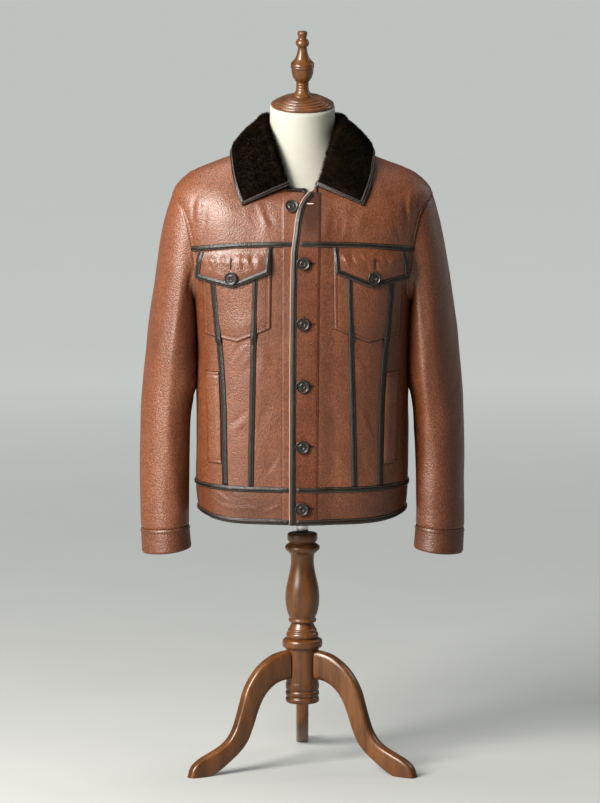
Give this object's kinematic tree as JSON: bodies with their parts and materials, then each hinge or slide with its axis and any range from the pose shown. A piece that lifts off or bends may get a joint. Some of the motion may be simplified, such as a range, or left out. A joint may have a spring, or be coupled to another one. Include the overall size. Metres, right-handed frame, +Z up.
{
  "type": "shearling jacket on a dress form with a tripod stand",
  "caption": "Buttoned shearling jacket in trucker cut with fur collar and dark strips, on a limbless dress form with a turned wooden tripod stand.",
  "frame": {"origin": "middle of the whole's footprint box, at floor level", "axes": "+Z up along the pole, -Y towards the jacket's front, +X to the picture's right"},
  "size_m": [0.591, 0.3777, 1.3472],
  "materials": {
    "leather": "semi-gloss, fine pebbled grain",
    "trim": "glossy, smooth, stitched",
    "fur": "short dense sheared wool",
    "horn": "polished",
    "wood": "satin lacquer, stained",
    "cloth": "matt, plain weave",
    "steel": "satin"
  },
  "bodies": {
    "root": {"back": "leather", "button_flap_left": "horn", "button_flap_right": "horn", "button_front_1": "horn", "button_front_2": "horn", "button_front_3": "horn", "button_front_4": "horn", "button_front_5": "horn", "button_neck": "horn", "collar": "fur", "collar_binding": "trim", "collar_stand": "leather", "column": "wood", "cuff_left": "leather", "cuff_right": "leather", "finial": "wood", "flap_left": "leather", "flap_right": "leather", "flap_trim_left": "trim", "flap_trim_right": "trim", "form_torso": "cloth", "front_centre_left": "leather", "front_centre_right": "leather", "front_edge_binding": "trim", "front_middle_left": "leather", "front_middle_right": "leather", "front_side_left": "leather", "front_side_right": "leather", "front_yoke_left": "leather", "front_yoke_right": "leather", "hem_band_back": "leather", "hem_band_left": "leather", "hem_band_right": "leather", "hem_edge_binding": "trim", "hem_top_strip": "trim", "leg_left": "wood", "leg_rear": "wood", "leg_right": "wood", "neck_cap": "wood", "pocket_left": "leather", "pocket_right": "leather", "pole": "steel", "sleeve_left": "leather", "sleeve_right": "leather", "strip_inner_left": "trim", "strip_inner_right": "trim", "strip_outer_left": "trim", "strip_outer_right": "trim", "welt_left": "leather", "welt_right": "leather", "yoke_strip_left": "trim", "yoke_strip_right": "trim"}
  },
  "joints": []
}
